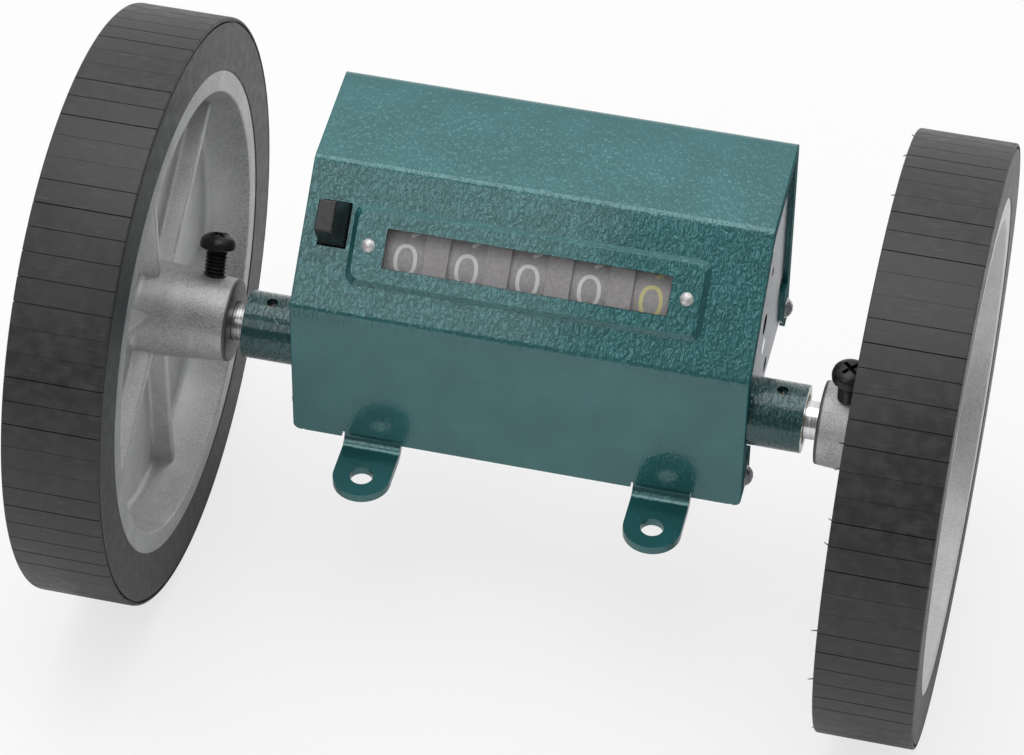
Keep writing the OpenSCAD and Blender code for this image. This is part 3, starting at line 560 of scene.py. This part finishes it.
def soften_cad_edges(name, width, steps=2):
    """Small rounded edges on a node, by modifiers that leave its mesh as it is."""
    node = nodes[name]
    weld = node.modifiers.new("weld", "WELD")
    weld.merge_threshold = 0.0005 * MM
    flat = node.modifiers.new("flat faces", "DECIMATE")
    flat.decimate_type = "DISSOLVE"
    flat.angle_limit = math.radians(0.5)
    soft = node.modifiers.new("rounded edges", "BEVEL")
    soft.width = width * MM
    soft.segments = steps
    soft.limit_method = "ANGLE"
    soft.angle_limit = math.radians(35)
    soft.use_clamp_overlap = True
    even = node.modifiers.new("even shading", "WEIGHTED_NORMAL")
    even.keep_sharp = False
    for face in node.data.polygons:
        face.use_smooth = True


# ---------------------------------------------------------------- wheels

def tyre(name, whiskers):
    """A plain ring with separate tread blocks on it, parted by cuts of uneven width."""
    floor_r = WHEEL_R - TREAD_DEPTH
    ring = draw_line(name + "_ring", rounded([
        (TYRE_IN, RIM_R + 0.25, 0), (TYRE_IN, floor_r - SHOULDER, 0),
        (TYRE_IN + SHOULDER, floor_r - 0.4, 0), (TYRE_IN + SHOULDER, floor_r, 0),
        (TYRE_OUT - SHOULDER, floor_r, 0), (TYRE_OUT - SHOULDER, floor_r - 0.4, 0),
        (TYRE_OUT, floor_r - SHOULDER, 0), (TYRE_OUT, RIM_R + 0.25, 0),
        (TYRE_OUT - 0.25, RIM_R, 0), (TYRE_IN + 0.25, RIM_R, 0)]), closed=True)
    spun(ring, steps=156)
    chance = random.Random(11)
    pitch = 360 / TREAD_CUTS
    group = []
    for k in range(TREAD_GROUP):
        cut = math.degrees(chance.choice(CUT_WIDTHS) / WHEEL_R)
        block_name = "%s_block_%d" % (name, k)
        group.append(spin_about_axle(tread_block(block_name, floor_r, pitch - cut), k * pitch))
    tread = joined(group, name + "_tread")
    turned_copies(tread, TREAD_CUTS // TREAD_GROUP, pitch * TREAD_GROUP, name + "_treads")
    parts = [ring, tread]
    if whiskers:
        parts += mould_whiskers(name)
    return smooth(joined(parts, name), 30)


def tread_block(name, floor_r, degrees):
    tread = draw_line(name, rounded([
        (TYRE_IN + 0.02, floor_r - 0.1, 0), (TYRE_IN + 0.02, WHEEL_R - 0.01, 0.4),
        (TYRE_OUT - 0.02, WHEEL_R - 0.01, 0.4), (TYRE_OUT - 0.02, floor_r - 0.1, 0)]), closed=True)
    edit(tread)
    bpy.ops.mesh.select_all(action="SELECT")
    bpy.ops.mesh.edge_face_add()
    bpy.ops.mesh.spin(steps=3, angle=math.radians(degrees), center=(0, 0, 0), axis=(1, 0, 0))
    done()
    return mend(tread)


def mould_whiskers(name):
    """Short thin stubs of rubber flash at the ends of some cuts."""
    chance = random.Random(7)
    made = []
    for k in range(TREAD_CUTS):
        if chance.random() < 0.72:
            continue
        length = chance.uniform(0.5, 1.1)
        nothing_selected()
        bpy.ops.mesh.primitive_cone_add(vertices=5, radius1=0.12 * MM, radius2=0.07 * MM, depth=length * MM)
        hair = new_piece("%s_whisker_%d" % (name, k))
        hair.rotation_euler = (chance.uniform(-0.9, 0.9), -math.pi / 2 + chance.uniform(-0.5, 0.5), 0)
        hair.location = Vector((TYRE_IN - length * 0.4, WHEEL_R - chance.uniform(0.35, 0.7), 0)) * MM
        settle(hair)
        spin_about_axle(hair, k * 360 / TREAD_CUTS - 0.1)
        made.append(hair)
    return made


def rim_casting(name):
    """Hub, web and barrel turned in one outline, with six ribs on the inner side of the web."""
    body = draw_line(name, rounded([
        (HUB_IN, AXLE_R + BORE_EDGE, 0), (HUB_IN, HUB_R, 0.5),
        (WEB_IN, WEB_HUB_R, 1.4), (WEB_IN, BARREL_FOOT_R, 1.2),
        (RIM_IN, BARREL_R, 0.4), (RIM_IN, RIM_R, 0.2), (RIM_OUT, RIM_R, 0.2), (RIM_OUT, BARREL_R, 0.4),
        (WEB_OUT, BARREL_FOOT_R, 1.2), (WEB_OUT, HUB_R + 0.1, 1.2),
        (HUB_OUT, HUB_R, 0.5), (HUB_OUT, AXLE_R + BORE_EDGE, 0),
        (HUB_OUT - BORE_EDGE, AXLE_R, 0), (HUB_IN + BORE_EDGE, AXLE_R, 0)]), closed=True)
    spun(body, steps=144)
    ribs = [spoke_rib("%s_rib_1" % name)]
    for k in range(1, SPOKES):
        ribs.append(spin_about_axle(copy_of(ribs[0], "%s_rib_%d" % (name, k + 1)), k * 360 / SPOKES))
    return smooth(spin_about_axle(joined([body] + ribs, name), FIRST_SPOKE), 38)


def spoke_rib(name):
    """One straight rib, drafted and with a hollow fillet along its foot, drawn in section and extruded."""
    half = rounded([(WEB_IN + 0.65, 2.4, 0), (WEB_IN - 0.01, 2.4, 0), (WEB_IN - 0.15, 1.35, 0.9),
                    (RIB_TOP, 0.85, 0.45), (RIB_TOP, 0, 0)], 4)
    outline = [(p.x, RIB_START, p.y) for p in half]
    outline += [(p.x, RIB_START, -p.y) for p in reversed(half[:-1])]
    rib = draw_line(name, outline, closed=True)
    edit(rib)
    bpy.ops.mesh.select_all(action="SELECT")
    bpy.ops.mesh.edge_face_add()
    bpy.ops.mesh.extrude_region_move(TRANSFORM_OT_translate={"value": Vector((0, RIB_LENGTH, 0)) * MM})
    done()
    return mend(rib)


def set_screw(name, lean):
    """A pan head screw with a cross recess and a real thread, standing in the hub."""
    pitch, root, crest = 0.7, 1.62, 2.0
    turns = 13
    thread = draw_line(name + "_thread", [
        (root, 0, 0), (crest, 0, pitch * 0.42), (crest, 0, pitch * 0.58), (root, 0, pitch)])
    only(thread)
    wind = thread.modifiers.new("thread", "SCREW")
    wind.axis = "Z"
    wind.angle = math.tau
    wind.screw_offset = pitch * MM
    wind.iterations = turns
    wind.steps = 20
    wind.render_steps = 20
    wind.use_merge_vertices = True
    wind.merge_threshold = 0.001 * MM
    bpy.ops.object.modifier_apply(modifier=wind.name)
    mend(thread, 0.001 * MM)
    edit(thread)
    bpy.ops.mesh.select_all(action="DESELECT")
    bpy.ops.mesh.select_mode(type="EDGE")
    bpy.ops.mesh.select_non_manifold(extend=False)
    bpy.ops.mesh.fill()
    bpy.ops.mesh.select_mode(type="VERT")
    done()
    thread.location = (0, 0, 3.6 * MM)
    settle(thread)
    head = draw_line(name + "_head", [
        (0, 0, 12.7), (2.9, 0, 12.7), (3.2, 0, 12.95), (3.24, 0, 13.6),
        (3.05, 0, 14.3), (2.55, 0, 14.85), (1.7, 0, 15.2), (0, 0, 15.3)])
    spun(head, steps=40, axis=(0, 0, 1))
    for turn in (45, 135):
        slot = block(name + "_slot", (-1.75, -0.36, 14.1), (1.75, 0.36, 16))
        slot.rotation_euler = (0, 0, math.radians(turn))
        settle(slot)
        only(head)
        cut = head.modifiers.new("cross", "BOOLEAN")
        cut.operation = "DIFFERENCE"
        cut.object = slot
        cut.solver = "EXACT"
        bpy.ops.object.modifier_apply(modifier=cut.name)
        bpy.data.objects.remove(slot)
    piece = joined([thread, head], name)
    smooth(piece, 32)
    piece.rotation_euler = (math.radians(-lean), 0, 0)
    piece.location = (SET_SCREW_X * MM, 0, 0)
    return settle(piece)


# ---------------------------------------------------------------- figures on the drums

def arc(cx, cy, rx, ry, start, end, steps=18, power=2.0):
    out = []
    for k in range(steps + 1):
        a = math.radians(start + (end - start) * k / steps)
        c, s = math.cos(a), math.sin(a)
        out.append((cx + rx * math.copysign(abs(c) ** (2 / power), c),
                    cy + ry * math.copysign(abs(s) ** (2 / power), s)))
    return out


FIGURES = {
    0: [arc(0, 0, 1.74, 2.36, 0, 360, 32, 2.3)],
    1: [[(-0.75, 1.45), (0.2, 2.28), (0.2, -2.28)]],
    2: [arc(0, 0.95, 1.55, 1.33, 165, -35, 16) + [(-1.6, -2.28), (1.65, -2.28)]],
    3: [arc(0, 1.2, 1.4, 1.08, 150, -90, 16), arc(0, -1.08, 1.6, 1.2, 90, -150, 16)],
    4: [[(0.85, -2.28), (0.85, 2.28), (-1.65, -0.9), (1.7, -0.9)]],
    5: [[(1.4, 2.28), (-1.15, 2.28), (-1.4, 0.25)] + arc(0, -0.78, 1.6, 1.5, 130, -150, 18)],
    6: [arc(0, -0.95, 1.6, 1.33, 0, 360, 26),
        [(-1.6, -0.95), (-1.6, -0.1), (-1.4, 0.75), (-0.95, 1.35), (-0.3, 1.85)]],
    7: [[(-1.6, 2.28), (1.6, 2.28), (-0.5, -2.28)]],
    8: [arc(0, 1.18, 1.35, 1.1, 0, 360, 26), arc(0, -1.08, 1.62, 1.2, 0, 360, 26)],
    9: [arc(0, 0.95, 1.6, 1.33, 0, 360, 26),
        [(1.6, 0.95), (1.62, 0.2), (1.58, -0.5), (1.4, -1.1), (0.35, -1.74)]],
}


def finer(points, step=0.5):
    out = [points[0]]
    for a, b in zip(points, points[1:]):
        parts = max(1, math.ceil(math.dist(a, b) / step))
        for k in range(1, parts + 1):
            out.append((a[0] + (b[0] - a[0]) * k / parts, a[1] + (b[1] - a[1]) * k / parts))
    return out


def figure_stroke(name, points):
    """One flat brush stroke along the points."""
    nothing_selected()
    closed = math.dist(points[0], points[-1]) < 0.01
    line = bpy.data.curves.new(name, "CURVE")
    line.dimensions = "3D"
    line.bevel_depth = FIGURE_STROKE / 2 * MM
    line.bevel_resolution = 1
    line.use_fill_caps = True
    pts = finer(points[:-1] if closed else points)
    spline = line.splines.new("POLY")
    spline.points.add(len(pts) - 1)
    for p, (x, y) in zip(spline.points, pts):
        p.co = (x * MM, y * FIGURE_STRETCH * MM, 0, 1)
    spline.use_cyclic_u = closed
    stroke = bpy.data.objects.new(name, line)
    bpy.context.scene.collection.objects.link(stroke)
    only(stroke)
    bpy.ops.object.convert(target="MESH")
    stroke = new_piece(name)
    stroke.scale = (1, 1, 0.05)
    return settle(stroke)


def curl_round_drum(piece, degrees):
    """Lays a flat figure on the drum, its middle the given angle up from the reading line."""
    for v in piece.data.vertices:
        a = math.radians(degrees) + v.co.y / (DRUM_R * MM)
        r = DRUM_R * MM + 0.005 * MM + v.co.z
        side = INCLINE_OUT * math.cos(a) + INCLINE_UP * math.sin(a)
        v.co = DRUM_AXIS * MM + Vector((v.co.x, 0, 0)) + side * r
    return piece


def drum_figures():
    """The ten figures are made once, laid round one drum, and that ring is copied for the others."""
    strokes = []
    for figure, lines in FIGURES.items():
        for k, points in enumerate(lines):
            s = figure_stroke("figure_%d_%d" % (figure, k), points)
            strokes.append(curl_round_drum(s, READING_ANGLE - FIGURE_STEP * figure))
    ring = mend(joined(strokes, "figures_3"), 0.00001 * MM)
    smooth(ring, 50)
    for i in (1, 2, 4, 5):
        other = copy_of(ring, "figures_%d" % i)
        other.location.x = (DRUM_MIDDLE_X + (i - 3) * DRUM_PITCH) * MM
        settle(other)
        fit(other, "drum_%d" % i, "drum_grey", YELLOW_PRINT if i == 5 else WHITE_PRINT)
    ring.location.x = DRUM_MIDDLE_X * MM
    settle(ring)
    fit(ring, "drum_3", "drum_grey", WHITE_PRINT)


# ---------------------------------------------------------------- floor, lights and camera

def floor():
    """Plain white floor, lit up a little where it is seen, which keeps the shadows faint."""
    nothing_selected()
    bpy.ops.mesh.primitive_plane_add(size=8, location=(0, 0, (FLOOR_Z - 0.02) * MM))
    ground = new_piece("floor")
    f = Finish("pale studio floor", (0.93, 0.93, 0.93), 0.9)
    f.tint(f.ramp(f.grain(60.0, 2.0), 0.3, 0.7), (0.925, 0.925, 0.925), (0.935, 0.935, 0.935))
    nodes_in, links = f.tree.nodes, f.tree.links
    glow = nodes_in.new("ShaderNodeEmission")
    mix = nodes_in.new("ShaderNodeMixShader")
    seen = seen_rays(f.tree)
    share = nodes_in.new("ShaderNodeMath")
    share.operation = "MULTIPLY"
    share.inputs[1].default_value = FLOOR_GLOW
    links.new(seen, share.inputs[0])
    links.new(share.outputs["Value"], mix.inputs["Fac"])
    links.new(f.shader.outputs["BSDF"], mix.inputs[1])
    links.new(glow.outputs["Emission"], mix.inputs[2])
    links.new(mix.outputs["Shader"], nodes_in["Material Output"].inputs["Surface"])
    ground.data.materials.append(f.material)


def seen_rays(tree):
    """One where the camera looks, directly or through clear plates."""
    rays = tree.nodes.new("ShaderNodeLightPath")
    seen = tree.nodes.new("ShaderNodeMath")
    seen.operation = "MAXIMUM"
    tree.links.new(rays.outputs["Is Camera Ray"], seen.inputs[0])
    tree.links.new(rays.outputs["Is Transmission Ray"], seen.inputs[1])
    return seen.outputs["Value"]


def studio_surround():
    """White behind and above, dim towards the front, and plain white where it is seen."""
    world = bpy.data.worlds.new("studio")
    bpy.context.scene.world = world
    world.use_nodes = True
    tree = world.node_tree
    tree.nodes.clear()
    way = tree.nodes.new("ShaderNodeTexCoord")
    lean = tree.nodes.new("ShaderNodeVectorMath")
    lean.operation = "DOT_PRODUCT"
    lean.inputs[1].default_value = (0, 0.75, 0.66)
    level = tree.nodes.new("ShaderNodeMapRange")
    level.interpolation_type = "SMOOTHSTEP"
    level.inputs["From Min"].default_value = -0.05
    level.inputs["From Max"].default_value = 0.75
    level.inputs["To Min"].default_value = 0.2
    level.inputs["To Max"].default_value = 0.95
    room = tree.nodes.new("ShaderNodeBackground")
    white = tree.nodes.new("ShaderNodeBackground")
    white.inputs["Color"].default_value = (1, 1, 1, 1)
    room.inputs["Color"].default_value = (1, 1, 1, 1)
    mix = tree.nodes.new("ShaderNodeMixShader")
    out = tree.nodes.new("ShaderNodeOutputWorld")
    tree.links.new(way.outputs["Generated"], lean.inputs[0])
    tree.links.new(lean.outputs["Value"], level.inputs["Value"])
    tree.links.new(level.outputs["Result"], room.inputs["Strength"])
    tree.links.new(seen_rays(tree), mix.inputs["Fac"])
    tree.links.new(room.outputs["Background"], mix.inputs[1])
    tree.links.new(white.outputs["Background"], mix.inputs[2])
    tree.links.new(mix.outputs["Shader"], out.inputs["Surface"])


def soft_box(name, place, width, height, power):
    light = bpy.data.lights.new(name, "AREA")
    light.shape = "RECTANGLE"
    light.size = width
    light.size_y = height
    light.energy = power
    lamp = bpy.data.objects.new(name, light)
    bpy.context.scene.collection.objects.link(lamp)
    lamp.location = place
    lamp.rotation_euler = (-Vector(place)).to_track_quat("-Z", "Y").to_euler()


def camera():
    data = bpy.data.cameras.new("camera")
    data.sensor_fit = "HORIZONTAL"
    data.sensor_width = 36
    data.lens = 145.35
    data.clip_start = 0.01
    data.clip_end = 20
    view = bpy.data.objects.new("camera", data)
    bpy.context.scene.collection.objects.link(view)
    right = Vector((0.97311, 0.23005, 0.01152))
    up = Vector((-0.16831, 0.67600, 0.71744))
    back = Vector((0.15726, -0.70008, 0.69654))
    turn = Matrix((right, up, back)).transposed()
    view.matrix_world = Matrix.Translation(Vector((112.3, -510.0, 505.2)) * MM) @ turn.to_4x4()
    bpy.context.scene.camera = view


# ---------------------------------------------------------------- the counter

camera()
floor()
studio_surround()
soft_box("ceiling box", (-0.1, 0.1, 1.2), 0.9, 1.1, 5.6)
soft_box("front box", (-0.35, -0.68, 0.72), 0.42, 0.5, 1.2)
bpy.context.scene.view_settings.view_transform = "Standard"

finish_cad_nodes()
soften_cad_edges("cover", 0.4, 3)
for side in ("left", "right"):
    soften_cad_edges(side + "_bearing_sleeve", 0.4, 3)
    soften_cad_edges(side + "_cover_screws", 0.15, 2)
soften_cad_edges("base_bracket", 0.3, 2)
soften_cad_edges("reset_button", 0.25, 3)

right_tyre = tyre("right_wheel_tyre", True)
left_tyre = smooth(mirrored(tyre("left_wheel_tyre", False)), 30)
fit(right_tyre, "wheel_axle", "rubber_tyre", RUBBER, "right_tyre")
fit(left_tyre, "wheel_axle", "rubber_tyre", RUBBER, "left_tyre")

right_rim = rim_casting("right_wheel_rim")
left_rim = smooth(mirrored(right_rim, "left_wheel_rim"), 38)
fit(right_rim, "wheel_axle", "cast_aluminium", CAST, "right_rim")
fit(left_rim, "wheel_axle", "cast_aluminium", CAST, "left_rim")

right_screw = set_screw("right_hub_screw", -5)
left_screw = smooth(mirrored(set_screw("left_hub_screw", 28)), 32)
fit(right_screw, "wheel_axle", "black_steel", BLACK_STEEL, "right_set_screw")
fit(left_screw, "wheel_axle", "black_steel", BLACK_STEEL, "left_set_screw")

drum_figures()
